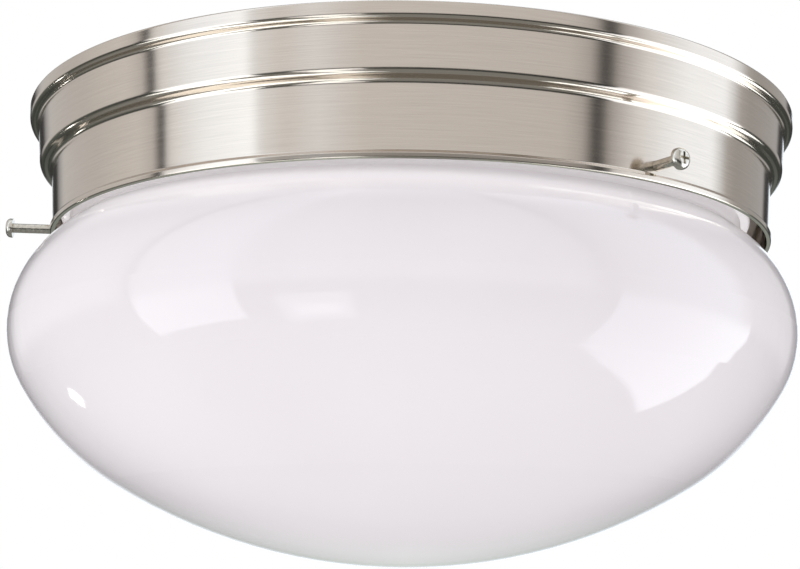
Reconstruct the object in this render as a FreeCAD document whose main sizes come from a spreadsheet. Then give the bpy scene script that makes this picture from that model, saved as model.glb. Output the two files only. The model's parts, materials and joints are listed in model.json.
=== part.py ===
import FreeCAD, Part
import math
import os

import Sketcher

# Flush ceiling light: a stepped brushed nickel canopy holds an opal glass bowl on three fitter
# screws. Two lamps lie side by side in porcelain sockets under a white reflector plate, and a
# strap with two studs carries the whole light. The ceiling is the plane at height zero, +Z is up.

os.makedirs("parts", exist_ok=True)
doc = FreeCAD.newDocument("ceiling_light")
dims = doc.addObject("Spreadsheet::Sheet", "Dims")

# Driving dimensions in millimetres
SIZES = [
    ("rim_radius", 134.0, "outside of the canopy's lowest band, at its lower end"),
    ("low_taper", 1.4, "how far the lowest band leans out towards its top"),
    ("step_two_width", 4.3, "ledge between the lowest and the middle band"),
    ("mid_taper", 1.3, "lean of the middle band"),
    ("step_one_width", 3.0, "ledge between the middle and the top band"),
    ("top_taper", 0.3, "lean of the top band"),
    ("sheet", 0.8, "canopy sheet"),
    ("top_band_height", 5.45, "ceiling to the first ledge"),
    ("mid_band_height", 16.15, "first ledge to the second"),
    ("low_band_height", 24.75, "second ledge to the lower edge"),
    ("step_one_round", 1.3, "rounds of the first ledge"),
    ("step_two_round", 2.0, "rounds of the second ledge"),
    ("top_round", 0.7, "round of the canopy's top corner"),
    ("hem_stand", 1.0, "how far the hem stands out of the lowest band"),
    ("hem_height", 1.25, "straight part of the hem"),
    ("hem_flare", 1.2, "height of the flare above the hem"),
    ("hem_round", 0.4, "round of the hem's lower corner"),
    ("flange_width", 7.0, "flange turned in at the ceiling"),
    ("flange_rivets", 6, "rivets that hold the reflector plate"),
    ("flange_rivet_inset", 4.3, "rivet centres in from the canopy's outside"),
    ("rivet_radius", 1.5, "shank of the small rivets"),
    ("rivet_head_radius", 2.5, "head of the small rivets"),
    ("rivet_head_height", 1.0, "head of the small rivets"),
    ("fitter_angle", -55.0, "bearing of the first fitter screw, degrees from +X"),
    ("fitter_screws", 3, "fitter screws round the rim"),
    ("screw_rise", 5.4, "fitter screw axis above the canopy's lower edge"),
    ("screw_radius", 1.75, "fitter screw thread, number six"),
    ("screw_length", 19.05, "fitter screw under its head, three quarters of an inch"),
    ("screw_head_radius", 3.6, "fitter screw head"),
    ("screw_head_height", 2.5, "fitter screw head"),
    ("screw_dome", 1.9, "round of the fitter screw head"),
    ("screw_tip_bevel", 0.5, "bevel at the fitter screw's tip"),
    ("tight_screw_gap", 0.5, "tips of the front and rear screws to the glass neck"),
    ("slack_screw_gap", 2.2, "tip of the left screw, which is less far in, to the glass neck"),
    ("cross_width", 0.9, "arm of the cross recess"),
    ("cross_span", 4.0, "span of the cross recess"),
    ("cross_depth", 1.5, "depth of the cross recess"),
    ("thread_clearance", 0.05, "running fit of the fitter screw in its collar"),
    ("collar_length", 1.1, "collar drawn in from the wall round each fitter screw"),
    ("collar_radius", 2.7, "outside of the collar's end"),
    ("collar_flare", 0.6, "extra radius where the collar leaves the wall"),
    ("glass_swell", 19.6, "how far the bowl swells out beyond its neck"),
    ("glass_drop", 33.8, "canopy's lower edge to the widest level of the glass"),
    ("bowl_height", 84.1, "widest level to the bottom of the glass"),
    ("neck_height", 6.75, "shoulder to the underside of the lip"),
    ("glass_wall", 3.0, "glass thickness"),
    ("neck_gap", 7.2, "glass neck to the canopy's inner wall, where both are centred"),
    ("glass_shift", 2.2, "how far the glass hangs towards the slack screw"),
    ("neck_round", 2.0, "hollow round between neck and shoulder"),
    ("lip_overhang", 3.4, "how far the glass lip stands out of the neck"),
    ("lip_height", 4.0, "glass lip"),
    ("lip_round", 0.8, "rounds of the glass lip"),
    ("lip_clearance", 0.3, "fitter screw to the underside of the lip"),
    ("plate_sheet", 0.8, "reflector plate sheet"),
    ("plate_depth", 12.4, "depth of the reflector plate's recess"),
    ("plate_edge_gap", 0.4, "reflector plate's edge to the canopy wall"),
    ("plate_wall_gap", 2.1, "recess wall to the canopy's middle band"),
    ("plate_bend", 1.4, "bends of the reflector plate, outside"),
    ("wire_hole_radius", 10.0, "hole for the leads in the reflector plate"),
    ("stud_hole_radius", 2.6, "holes for the studs in the reflector plate"),
    ("pad_hole_radius", 62.0, "hole in the insulation pad, over the ceiling box"),
    ("pad_ceiling_gap", 0.3, "insulation pad to the ceiling"),
    ("pad_edge_gap", 0.3, "insulation pad to the recess wall"),
    ("strap_length", 112.0, "mounting strap"),
    ("strap_width", 20.0, "mounting strap"),
    ("strap_sheet", 1.6, "mounting strap"),
    ("strap_corner", 3.0, "corner round of the strap"),
    ("box_spacing", 88.9, "screws of the ceiling box, three and a half inches apart"),
    ("box_slot_radius", 2.3, "half width of the strap's slots"),
    ("box_slot_length", 8.9, "strap's slots, end to end"),
    ("stud_spacing", 69.85, "studs, two and three quarter inches apart"),
    ("stud_radius", 2.08, "stud, number eight"),
    ("stud_length", 23.4, "stud"),
    ("strap_thread_radius", 5.0, "central hole of the strap"),
    ("hex_radius", 4.9, "lock nut over its corners"),
    ("hex_height", 3.2, "lock nut"),
    ("cap_radius", 6.2, "cap nut"),
    ("cap_height", 12.0, "cap nut"),
    ("cap_wall", 2.2, "closed end of the cap nut"),
    ("cap_bevel", 1.2, "bevel of the cap nut"),
    ("ground_offset", 15.0, "ground screw from the strap's middle"),
    ("ground_radius", 2.0, "ground screw"),
    ("ground_head_radius", 4.2, "ground screw head"),
    ("ground_head_height", 2.2, "ground screw head"),
    ("ground_length", 5.0, "ground screw under its head"),
    ("lamp_drop", 50.0, "lamp axis below the ceiling"),
    ("lamp_offset", 34.0, "lamp axis from the middle"),
    ("lamp_margin", 49.2, "bulb's tip contact to the canopy's inner wall"),
    ("bulb_radius", 30.0, "bulb at its widest"),
    ("bulb_length", 110.0, "bulb from contact to crown"),
    ("bulb_neck_radius", 13.4, "glass neck of the bulb"),
    ("bulb_neck_round", 50.0, "hollow curve between the bulb's neck and its ball"),
    ("bulb_wall", 0.9, "bulb glass"),
    ("bulb_glass_start", 25.4, "bulb glass starts this far from the contact"),
    ("base_radius", 12.9, "bulb's screw base"),
    ("base_wall", 0.4, "sheet of the screw base"),
    ("base_start", 5.0, "screw base from the contact"),
    ("base_end", 28.0, "screw base from the contact"),
    ("insulator_start", 1.0, "insulator from the contact"),
    ("insulator_radius", 6.0, "small end of the insulator"),
    ("tip_radius", 4.4, "tip contact of the bulb"),
    ("tip_gap", 0.3, "tip contact to the socket's tongue"),
    ("shell_radius", 13.3, "inside of the socket's screw shell"),
    ("shell_wall", 0.5, "sheet of the screw shell"),
    ("shell_length", 22.0, "screw shell, from the level of the bulb's tip"),
    ("shell_floor", 1.6, "floor of the screw shell behind the bulb's tip"),
    ("tongue_radius", 3.2, "centre contact of the socket"),
    ("shell_hole_radius", 5.0, "hole in the floor of the screw shell"),
    ("socket_radius", 19.0, "porcelain body at its mouth"),
    ("socket_back_radius", 16.5, "porcelain body at its back"),
    ("socket_back", 14.0, "back of the porcelain behind the bulb's tip"),
    ("socket_mouth", 24.0, "mouth of the porcelain ahead of the bulb's tip"),
    ("socket_shoulder", 3.0, "where the porcelain starts to narrow"),
    ("socket_mouth_round", 1.6, "round of the porcelain's mouth"),
    ("lead_radius", 1.1, "lead over its insulation"),
    ("lead_hole_clearance", 0.15, "lead in the porcelain"),
    ("lead_spread", 5.0, "leads from the lamp axis, sideways"),
    ("lead_setback", 8.0, "lead holes behind the bulb's tip"),
    ("lead_end_depth", 3.5, "how deep the leads end in the porcelain"),
    ("bracket_sheet", 1.2, "socket bracket"),
    ("bracket_width", 22.0, "socket bracket"),
    ("bracket_foot", 20.0, "foot of the bracket"),
    ("bracket_bend", 1.8, "bend of the bracket, outside"),
    ("bracket_rivet_spacing", 12.0, "rivets in the bracket's foot"),
    ("bracket_rivet_setback", 11.0, "rivets from the bracket's leg"),
    ("fixing_radius", 2.0, "screw that holds the socket"),
    ("fixing_head_radius", 3.8, "head of that screw"),
    ("fixing_head_height", 2.0, "head of that screw"),
    ("fixing_length", 9.0, "that screw under its head"),
    ("slot_width", 0.9, "screwdriver slots"),
    ("slot_depth", 0.9, "screwdriver slots"),
    ("bushing_flange", 2.2, "flange of the lead bushing"),
    ("bushing_lip", 1.2, "height of the bushing's flanges"),
    ("bushing_bore_radius", 7.2, "bore of the lead bushing"),
    ("lead_plate_gap", 4.6, "lead axis under the reflector plate"),
    ("nut_start", 21.0, "mouth of the wire connector from the middle"),
    ("nut_length", 18.0, "wire connector"),
    ("nut_radius", 4.6, "wire connector at its mouth"),
    ("nut_end_radius", 3.0, "wire connector at its end"),
    ("nut_bore_clearance", 0.2, "leads in the bore of the wire connector"),
    ("nut_bore_depth", 9.0, "bore of the wire connector"),
    ("nut_rest_gap", 0.3, "wire connector to the plate that it lies on"),
    ("cut_overrun", 1.0, "how far a cut starts outside the face it enters"),
]
# Rounds of the bowl, as shares of its height, and the turn of its side arc, of a quarter turn
SIDE_ROUND_SHARE = 0.5
BELLY_ROUND_SHARE = 1.152
SIDE_TURN_SHARE = 0.343
# Part of the shorter run that the arc at a lead's corner takes
SETBACK_SHARE = 0.45
# Place of a lead in the bushing, from its middle to its bore
BUSHING_PLACE_SHARE = 0.375
# Lengths closer than this are the same
NEAR = 1e-4
for row, (alias, amount, meaning) in enumerate(SIZES, 1):
    dims.set(f"A{row}", alias)
    dims.set(f"B{row}", str(amount))
    dims.set(f"C{row}", meaning)
    dims.setAlias(f"B{row}", alias)
doc.recompute()

# Sizes and levels that follow from the driving dimensions, as expressions
LOW_TOP = "(Dims.rim_radius + Dims.low_taper)"
MID_LOW = f"({LOW_TOP} + Dims.step_two_width)"
MID_TOP = f"({MID_LOW} + Dims.mid_taper)"
TOP_LOW = f"({MID_TOP} + Dims.step_one_width)"
TOP_OUT = f"({TOP_LOW} + Dims.top_taper)"
STEP_ONE = "(-Dims.top_band_height)"
STEP_TWO = "(-Dims.top_band_height - Dims.mid_band_height)"
EDGE = "(-Dims.top_band_height - Dims.mid_band_height - Dims.low_band_height)"
SCREW_LEVEL = f"({EDGE} + Dims.screw_rise)"
RIM_INSIDE = "(Dims.rim_radius - Dims.sheet)"
NECK = f"({RIM_INSIDE} - Dims.neck_gap)"
GLASS_OUT = f"({NECK} + Dims.glass_swell)"
LIP_LOW = f"({SCREW_LEVEL} + Dims.screw_radius + Dims.lip_clearance)"
LIP_TOP = f"({LIP_LOW} + Dims.lip_height)"
FLANGE_INSIDE = f"({TOP_OUT} - Dims.flange_width)"
RIVET_RING = f"({TOP_OUT} - Dims.flange_rivet_inset)"
RECESS = f"({MID_LOW} - Dims.sheet - Dims.plate_wall_gap)"
FLOOR_TOP = "(-Dims.sheet - Dims.plate_depth)"
FLOOR_LOW = f"({FLOOR_TOP} - Dims.plate_sheet)"
LEAD_LEVEL = f"({FLOOR_LOW} - Dims.lead_plate_gap)"
LAMP_LEVEL = "(-Dims.lamp_drop)"
LAMP_REACH = f"({RIM_INSIDE} - Dims.lamp_margin)"
NUT_LEVEL = f"({FLOOR_TOP} + Dims.nut_rest_gap + Dims.nut_radius)"
NUT_BORE = "(2 * Dims.lead_radius + Dims.lead_hole_clearance + Dims.nut_bore_clearance)"
ZERO = "0 * Dims.sheet"

nodes = {}


def size(expression):
    """Number that an expression of the sheet stands for."""
    return float(dims.evalExpression(expression))


def node(name, thing):
    """Registers a finished sub-part under its node name."""
    thing.Label = name
    nodes[name] = thing
    return thing


def origin_feature(body, role):
    return [feature for feature in body.Origin.OriginFeatures if feature.Role == role][0]


def new_body(name):
    return doc.addObject("PartDesign::Body", f"{name}_body")


def new_sketch(body, name, role="XZ_Plane", height=None, side=None):
    """Sketch on one of the body's own planes, moved up it by height and along it by side."""
    sketch = body.newObject("Sketcher::SketchObject", name)
    sketch.AttachmentSupport = [(origin_feature(body, role), "")]
    sketch.MapMode = "FlatFace"
    if height:
        sketch.setExpression("AttachmentOffset.Base.y", height)
    if side:
        sketch.setExpression("AttachmentOffset.Base.z", side)
    return sketch


def tie_point(sketch, line, x, y):
    """Ties the start of a line to the place that two expressions give."""
    for kind, axis, amount in (("DistanceX", -2, x), ("DistanceY", -1, y)):
        there = size(amount)
        if abs(there) < NEAR:
            sketch.addConstraint(Sketcher.Constraint("PointOnObject", line, 1, axis))
        elif there > 0:
            tie = sketch.addConstraint(Sketcher.Constraint(kind, -1, 1, line, 1, there))
            sketch.setExpression(f"Constraints[{tie}]", amount)
        else:
            tie = sketch.addConstraint(Sketcher.Constraint(kind, line, 1, -1, 1, -there))
            sketch.setExpression(f"Constraints[{tie}]", f"-({amount})")


def outline(sketch, corners):
    """Closed outline through corners, each a pair of expressions."""
    places = [FreeCAD.Vector(size(x), size(y), 0) for x, y in corners]
    first = sketch.GeometryCount
    count = len(corners)
    for index, place in enumerate(places):
        sketch.addGeometry(Part.LineSegment(place, places[(index + 1) % count]))
    for index in range(count):
        after = first + (index + 1) % count
        sketch.addConstraint(Sketcher.Constraint("Coincident", first + index, 2, after, 1))
    for index, (x, y) in enumerate(corners):
        tie_point(sketch, first + index, x, y)
    return sketch


def circle(sketch, x, y, radius):
    """Circle tied to expressions."""
    middle = FreeCAD.Vector(size(x), size(y), 0)
    index = sketch.addGeometry(Part.Circle(middle, FreeCAD.Vector(0, 0, 1), size(radius)))
    for kind, axis, amount in (("DistanceX", -2, x), ("DistanceY", -1, y)):
        there = size(amount)
        if abs(there) < NEAR:
            sketch.addConstraint(Sketcher.Constraint("PointOnObject", index, 3, axis))
        elif there > 0:
            tie = sketch.addConstraint(Sketcher.Constraint(kind, -1, 1, index, 3, there))
            sketch.setExpression(f"Constraints[{tie}]", amount)
        else:
            tie = sketch.addConstraint(Sketcher.Constraint(kind, index, 3, -1, 1, -there))
            sketch.setExpression(f"Constraints[{tie}]", f"-({amount})")
    tie = sketch.addConstraint(Sketcher.Constraint("Radius", index, size(radius)))
    sketch.setExpression(f"Constraints[{tie}]", radius)
    return sketch


def revolve(body, sketch, name, axis="V_Axis", kind="PartDesign::Revolution"):
    feature = body.newObject(kind, name)
    feature.Profile = sketch
    feature.ReferenceAxis = (sketch, [axis])
    feature.Angle = 360
    return feature


def ring_edges(feature, radius, level, axis):
    """Names of the circular edges with this radius at this place along an axis."""
    found = []
    for index, edge in enumerate(feature.Shape.Edges, 1):
        curve = edge.Curve
        if isinstance(curve, Part.Circle):
            same_radius = abs(curve.Radius - size(radius)) < NEAR
            same_level = abs(getattr(curve.Center, axis) - size(level)) < NEAR
            if same_radius and same_level:
                found.append(f"Edge{index}")
    return found


def straight_edges(feature, axis, x=None, z=None):
    """Names of the straight edges along an axis, at a place across it where one is given."""
    found = []
    for index, edge in enumerate(feature.Shape.Edges, 1):
        if not isinstance(edge.Curve, Part.Line):
            continue
        first, last = edge.Vertexes[0].Point, edge.Vertexes[1].Point
        along = abs(getattr(last - first, axis)) > edge.Length - NEAR
        at_x = x is None or abs(first.x - size(x)) < NEAR
        at_z = z is None or abs(first.z - size(z)) < NEAR
        if along and at_x and at_z:
            found.append(f"Edge{index}")
    return found


def round_rings(body, name, base, rings, radius, axis="z"):
    """Rounds the circular edges at the given radii and places along the axis."""
    doc.recompute()
    feature = body.newObject("PartDesign::Fillet", name)
    edges = [edge for ring in rings for edge in ring_edges(base, *ring, axis)]
    if not edges:
        raise ValueError(f"{name} finds no edge")
    feature.Base = (base, edges)
    feature.setExpression("Radius", radius)
    return feature


def around(body, name, originals, count):
    """Repeats features about the body's vertical axis."""
    pattern = body.newObject("PartDesign::PolarPattern", name)
    pattern.Originals = originals
    pattern.Axis = (origin_feature(body, "Z_Axis"), [""])
    pattern.Angle = 360
    pattern.setExpression("Occurrences", count)
    body.Tip = pattern
    return pattern


def pocket_both_ways(body, sketch, name, reach):
    """Pocket that reaches as far above its sketch as below it."""
    feature = body.newObject("PartDesign::Pocket", name)
    feature.Profile = sketch
    feature.Midplane = True
    feature.setExpression("Length", f"2 * ({reach})")
    return feature


def place(thing, x=None, y=None, z=None):
    """Ties a sub-part's placement to expressions."""
    for axis, amount in (("x", x), ("y", y), ("z", z)):
        if amount:
            thing.setExpression(f"Placement.Base.{axis}", amount)
    return thing


def turn(thing, axis, degrees):
    thing.Placement = FreeCAD.Placement(thing.Placement.Base, FreeCAD.Rotation(axis, degrees))
    return thing


def cylinder(name, radius, height, x=None, y=None, z=None):
    thing = doc.addObject("Part::Cylinder", name)
    thing.setExpression("Radius", radius)
    thing.setExpression("Height", height)
    return place(thing, x, y, z)


def box(name, length, width, height, x=None, y=None, z=None):
    thing = doc.addObject("Part::Box", name)
    thing.setExpression("Length", length)
    thing.setExpression("Width", width)
    thing.setExpression("Height", height)
    return place(thing, x, y, z)


def joined(name, things):
    result = doc.addObject("Part::MultiFuse", name)
    result.Shapes = things
    return result


def less(name, base, tool):
    result = doc.addObject("Part::Cut", name)
    result.Base = base
    result.Tool = tool
    return result


def group(name, things):
    """One node of separate, identical solids."""
    result = doc.addObject("Part::Compound", f"{name}_group")
    result.Links = things
    return node(name, result)


# Canopy
def make_canopy():
    """Stepped canopy with its ceiling flange, hem and three drawn collars."""
    body = new_body("canopy")
    profile = new_sketch(body, "canopy_profile")
    hem_top = f"({EDGE} + Dims.hem_height)"
    hem_out = "(Dims.rim_radius + Dims.hem_stand)"
    outer = [
        (FLANGE_INSIDE, ZERO),
        (TOP_OUT, ZERO),
        (TOP_LOW, STEP_ONE),
        (MID_TOP, STEP_ONE),
        (MID_LOW, STEP_TWO),
        (LOW_TOP, STEP_TWO),
        ("Dims.rim_radius", f"{hem_top} + Dims.hem_flare"),
        (hem_out, hem_top),
        (hem_out, EDGE),
    ]
    inner = [
        (RIM_INSIDE, EDGE),
        (RIM_INSIDE, f"{hem_top} + Dims.hem_flare"),
        (f"{LOW_TOP} - Dims.sheet", f"{STEP_TWO} + Dims.sheet"),
        (f"{MID_LOW} - Dims.sheet", f"{STEP_TWO} + Dims.sheet"),
        (f"{MID_TOP} - Dims.sheet", f"{STEP_ONE} + Dims.sheet"),
        (f"{TOP_LOW} - Dims.sheet", f"{STEP_ONE} + Dims.sheet"),
        (f"{TOP_OUT} - Dims.sheet", "-Dims.sheet"),
        (FLANGE_INSIDE, "-Dims.sheet"),
    ]
    outline(profile, outer + inner)
    shell = revolve(body, profile, "canopy_shell")
    one = "Dims.step_one_round"
    two = "Dims.step_two_round"
    rounds = [
        ("first_ledge", [(TOP_LOW, STEP_ONE), (MID_TOP, STEP_ONE)], one),
        ("first_ledge_hollow", [inner[5]], f"{one} - Dims.sheet"),
        ("first_ledge_back", [inner[4]], f"{one} + Dims.sheet"),
        ("second_ledge", [(MID_LOW, STEP_TWO), (LOW_TOP, STEP_TWO)], two),
        ("second_ledge_hollow", [inner[3]], f"{two} - Dims.sheet"),
        ("second_ledge_back", [inner[2]], f"{two} + Dims.sheet"),
        ("top_corner", [(TOP_OUT, ZERO)], "Dims.top_round"),
        ("hem_corner", [(hem_out, EDGE)], "Dims.hem_round"),
    ]
    base = shell
    for name, rings, radius in rounds:
        base = round_rings(body, name, base, rings, radius)

    collar_profile = new_sketch(body, "collar_profile", height=SCREW_LEVEL)
    collar_end = f"({RIM_INSIDE} - Dims.collar_length)"
    outline(
        collar_profile,
        [
            (collar_end, ZERO),
            (collar_end, "Dims.collar_radius"),
            (f"{RIM_INSIDE} + Dims.sheet / 2", "Dims.collar_radius + Dims.collar_flare"),
            (f"{RIM_INSIDE} + Dims.sheet / 2", ZERO),
        ],
    )
    collar = revolve(body, collar_profile, "collar", "H_Axis")
    bore_profile = new_sketch(body, "bore_profile", height=SCREW_LEVEL)
    outline(
        bore_profile,
        [
            (f"{collar_end} - Dims.cut_overrun", ZERO),
            (f"{collar_end} - Dims.cut_overrun", "Dims.screw_radius + Dims.thread_clearance"),
            (f"{LOW_TOP} + Dims.cut_overrun", "Dims.screw_radius + Dims.thread_clearance"),
            (f"{LOW_TOP} + Dims.cut_overrun", ZERO),
        ],
    )
    bore = revolve(body, bore_profile, "collar_bore", "H_Axis", "PartDesign::Groove")
    around(body, "collars", [collar, bore], "Dims.fitter_screws")

    holes = new_sketch(body, "flange_hole", "XY_Plane")
    circle(holes, RIVET_RING, ZERO, "Dims.rivet_radius")
    hole = pocket_both_ways(body, holes, "flange_rivet_hole", "2 * Dims.sheet")
    around(body, "flange_rivet_holes", [hole], "Dims.flange_rivets")
    turn(body, FreeCAD.Vector(0, 0, 1), size("Dims.fitter_angle"))
    node("canopy", body)


# Reflector plate
def make_reflector_plate():
    """White dished plate that closes the canopy and carries the sockets."""
    body = new_body("reflector_plate")
    profile = new_sketch(body, "plate_profile")
    edge = f"({TOP_LOW} - Dims.sheet - Dims.plate_edge_gap)"
    top = "(-Dims.sheet)"
    low = "(-Dims.sheet - Dims.plate_sheet)"
    inside = f"({RECESS} - Dims.plate_sheet)"
    corners = [
        ("Dims.wire_hole_radius", FLOOR_TOP),
        (inside, FLOOR_TOP),
        (inside, top),
        (edge, top),
        (edge, low),
        (RECESS, low),
        (RECESS, FLOOR_LOW),
        ("Dims.wire_hole_radius", FLOOR_LOW),
    ]
    outline(profile, corners)
    dish = revolve(body, profile, "plate_dish")
    tight = "Dims.plate_bend - Dims.plate_sheet"
    bend = round_rings(body, "plate_bends", dish, [corners[2], corners[6]], "Dims.plate_bend")
    round_rings(body, "plate_hollows", bend, [corners[1], corners[5]], tight)
    holes = new_sketch(body, "plate_flange_hole", "XY_Plane")
    circle(holes, RIVET_RING, ZERO, "Dims.rivet_radius")
    grip = "2 * (Dims.sheet + Dims.plate_sheet)"
    hole = pocket_both_ways(body, holes, "plate_rivet_hole", grip)
    around(body, "plate_rivet_holes", [hole], "Dims.flange_rivets")
    turn(body, FreeCAD.Vector(0, 0, 1), size("Dims.fitter_angle"))

    tools = []
    for side in (-1, 1):
        tools.append(
            cylinder(
                f"stud_hole_{side + 1}",
                "Dims.stud_hole_radius",
                "Dims.plate_sheet + 2 * Dims.cut_overrun",
                f"{side} * Dims.stud_spacing / 2",
                None,
                f"{FLOOR_LOW} - Dims.cut_overrun",
            )
        )
        for step in (-1, 1):
            x, y = bracket_rivet_place(side, step)
            tools.append(
                cylinder(
                    f"bracket_hole_{side + 1}_{step + 1}",
                    "Dims.rivet_radius",
                    "Dims.plate_sheet + 2 * Dims.cut_overrun",
                    x,
                    y,
                    f"{FLOOR_LOW} - Dims.cut_overrun",
                )
            )
    node("reflector_plate", less("drilled_plate", body, joined("plate_holes", tools)))


def bracket_rivet_place(side, step):
    """Place of a rivet in a socket bracket's foot, as expressions."""
    x = f"{side} * ({LAMP_REACH} + Dims.socket_back - Dims.bracket_rivet_setback)"
    y = f"-{side} * Dims.lamp_offset + {step} * Dims.bracket_rivet_spacing / 2"
    return x, y


def rivet(name, x, y, top, grip):
    """Flush rivet: its shank fills the sheets and its head is under them."""
    shank = cylinder(f"{name}_shank", "Dims.rivet_radius", grip, x, y, f"{top} - ({grip})")
    head = doc.addObject("Part::Cone", f"{name}_head")
    head.setExpression("Radius1", "Dims.rivet_head_radius - Dims.rivet_head_height / 2")
    head.setExpression("Radius2", "Dims.rivet_head_radius")
    head.setExpression("Height", "Dims.rivet_head_height")
    place(head, x, y, f"{top} - ({grip}) - Dims.rivet_head_height")
    return joined(name, [shank, head])


def make_rivets():
    """Rivets of the ceiling flange and of the two socket brackets."""
    flange = []
    for index in range(int(size("Dims.flange_rivets"))):
        bearing = f"(Dims.fitter_angle + {index} * 360 / Dims.flange_rivets)"
        x = f"{RIVET_RING} * cos({bearing} * 1deg)"
        y = f"{RIVET_RING} * sin({bearing} * 1deg)"
        flange.append(rivet(f"flange_rivet_{index}", x, y, ZERO, "Dims.sheet + Dims.plate_sheet"))
    group("canopy_rivets", flange)
    feet = []
    for side in (-1, 1):
        for step in (-1, 1):
            x, y = bracket_rivet_place(side, step)
            grip = "Dims.plate_sheet + Dims.bracket_sheet"
            feet.append(rivet(f"foot_rivet_{side + 1}_{step + 1}", x, y, FLOOR_TOP, grip))
    group("bracket_rivets", feet)


def make_pad():
    """Fibre insulation pad in the recess of the reflector plate."""
    outside = f"({RECESS} - Dims.plate_sheet - Dims.pad_edge_gap - Dims.plate_bend)"
    height = f"(-{FLOOR_TOP} - Dims.pad_ceiling_gap)"
    disc = cylinder("pad_disc", outside, height, None, None, FLOOR_TOP)
    hole = cylinder(
        "pad_hole",
        "Dims.pad_hole_radius",
        f"{height} + 2 * Dims.cut_overrun",
        None,
        None,
        f"{FLOOR_TOP} - Dims.cut_overrun",
    )
    node("insulation_pad", less("ring_pad", disc, hole))


# Mounting strap and its hardware
HEX_SIDES = 6


def make_strap():
    """Mounting strap with two slots for the ceiling box, stud holes and a centre hole."""
    body = new_body("mounting_strap")
    shape = new_sketch(body, "strap_shape", "XY_Plane")
    end = "Dims.strap_length / 2"
    side = "Dims.strap_width / 2"
    corners = [(f"-{end}", f"-{side}"), (end, f"-{side}"), (end, side), (f"-{end}", side)]
    outline(shape, corners)
    bar = body.newObject("PartDesign::Pad", "strap_bar")
    bar.Profile = shape
    bar.Reversed = True
    bar.setExpression("Length", "Dims.strap_sheet")
    doc.recompute()
    corner = body.newObject("PartDesign::Fillet", "strap_corners")
    corner.Base = (bar, straight_edges(bar, "z"))
    corner.setExpression("Radius", "Dims.strap_corner")
    holes = new_sketch(body, "strap_holes", "XY_Plane")
    circle(holes, ZERO, ZERO, "Dims.strap_thread_radius")
    circle(holes, "Dims.ground_offset", ZERO, "Dims.ground_radius")
    for place_x in ("Dims.stud_spacing / 2", "-Dims.stud_spacing / 2"):
        circle(holes, place_x, ZERO, "Dims.stud_radius")
    pocket_both_ways(body, holes, "strap_round_holes", "2 * Dims.strap_sheet")
    slots = []
    half_run = "(Dims.box_slot_length / 2 - Dims.box_slot_radius)"
    height = "Dims.strap_sheet + 2 * Dims.cut_overrun"
    low = "-Dims.strap_sheet - Dims.cut_overrun"
    for side_sign in (-1, 1):
        middle = f"{side_sign} * Dims.box_spacing / 2"
        for end_sign in (-1, 1):
            slots.append(
                cylinder(
                    f"slot_end_{side_sign + 1}_{end_sign + 1}",
                    "Dims.box_slot_radius",
                    height,
                    f"{middle} + {end_sign} * {half_run}",
                    None,
                    low,
                )
            )
        slots.append(
            box(
                f"slot_run_{side_sign + 1}",
                f"2 * {half_run}",
                "2 * Dims.box_slot_radius",
                height,
                f"{middle} - {half_run}",
                "-Dims.box_slot_radius",
                low,
            )
        )
    node("mounting_strap", less("slotted_strap", body, joined("strap_slots", slots)))


def make_stud_hardware():
    """Studs screwed into the strap, their lock nuts and the cap nuts under the plate."""
    studs = []
    lock_nuts = []
    caps = []
    for side in (-1, 1):
        x = f"{side} * Dims.stud_spacing / 2"
        stud = cylinder(
            f"stud_{side + 1}", "Dims.stud_radius", "Dims.stud_length", x, None, "-Dims.stud_length"
        )
        studs.append(stud)
        hexagon = doc.addObject("Part::Prism", f"hexagon_{side + 1}")
        hexagon.Polygon = HEX_SIDES
        hexagon.setExpression("Circumradius", "Dims.hex_radius")
        hexagon.setExpression("Height", "Dims.hex_height")
        turn(hexagon, FreeCAD.Vector(0, 0, 1), 180 / HEX_SIDES)
        place(hexagon, x, None, "-Dims.strap_sheet - Dims.hex_height")
        bore = cylinder(
            f"hex_bore_{side + 1}",
            "Dims.stud_radius",
            "Dims.hex_height + 2 * Dims.cut_overrun",
            x,
            None,
            "-Dims.strap_sheet - Dims.hex_height - Dims.cut_overrun",
        )
        lock_nuts.append(less(f"lock_nut_{side + 1}", hexagon, bore))
        caps.append(cap_nut(side, x))
    group("mounting_studs", studs)
    group("lock_nuts", lock_nuts)
    group("cap_nuts", caps)


def cap_nut(side, x):
    """Closed nut with a bevelled end that clamps the reflector plate from below."""
    bevel = "Dims.cap_bevel"
    low = f"{FLOOR_LOW} - Dims.cap_height"
    barrel = cylinder(
        f"cap_barrel_{side + 1}",
        "Dims.cap_radius",
        f"Dims.cap_height - {bevel}",
        x,
        None,
        f"{low} + {bevel}",
    )
    end = doc.addObject("Part::Cone", f"cap_end_{side + 1}")
    end.setExpression("Radius1", f"Dims.cap_radius - {bevel}")
    end.setExpression("Radius2", "Dims.cap_radius")
    end.setExpression("Height", bevel)
    place(end, x, None, low)
    bore = cylinder(
        f"cap_bore_{side + 1}",
        "Dims.stud_radius",
        "Dims.cap_height - Dims.cap_wall + Dims.cut_overrun",
        x,
        None,
        f"{low} + Dims.cap_wall",
    )
    whole = joined(f"cap_solid_{side + 1}", [barrel, end])
    return less(f"cap_nut_{side + 1}", whole, bore)


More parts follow.
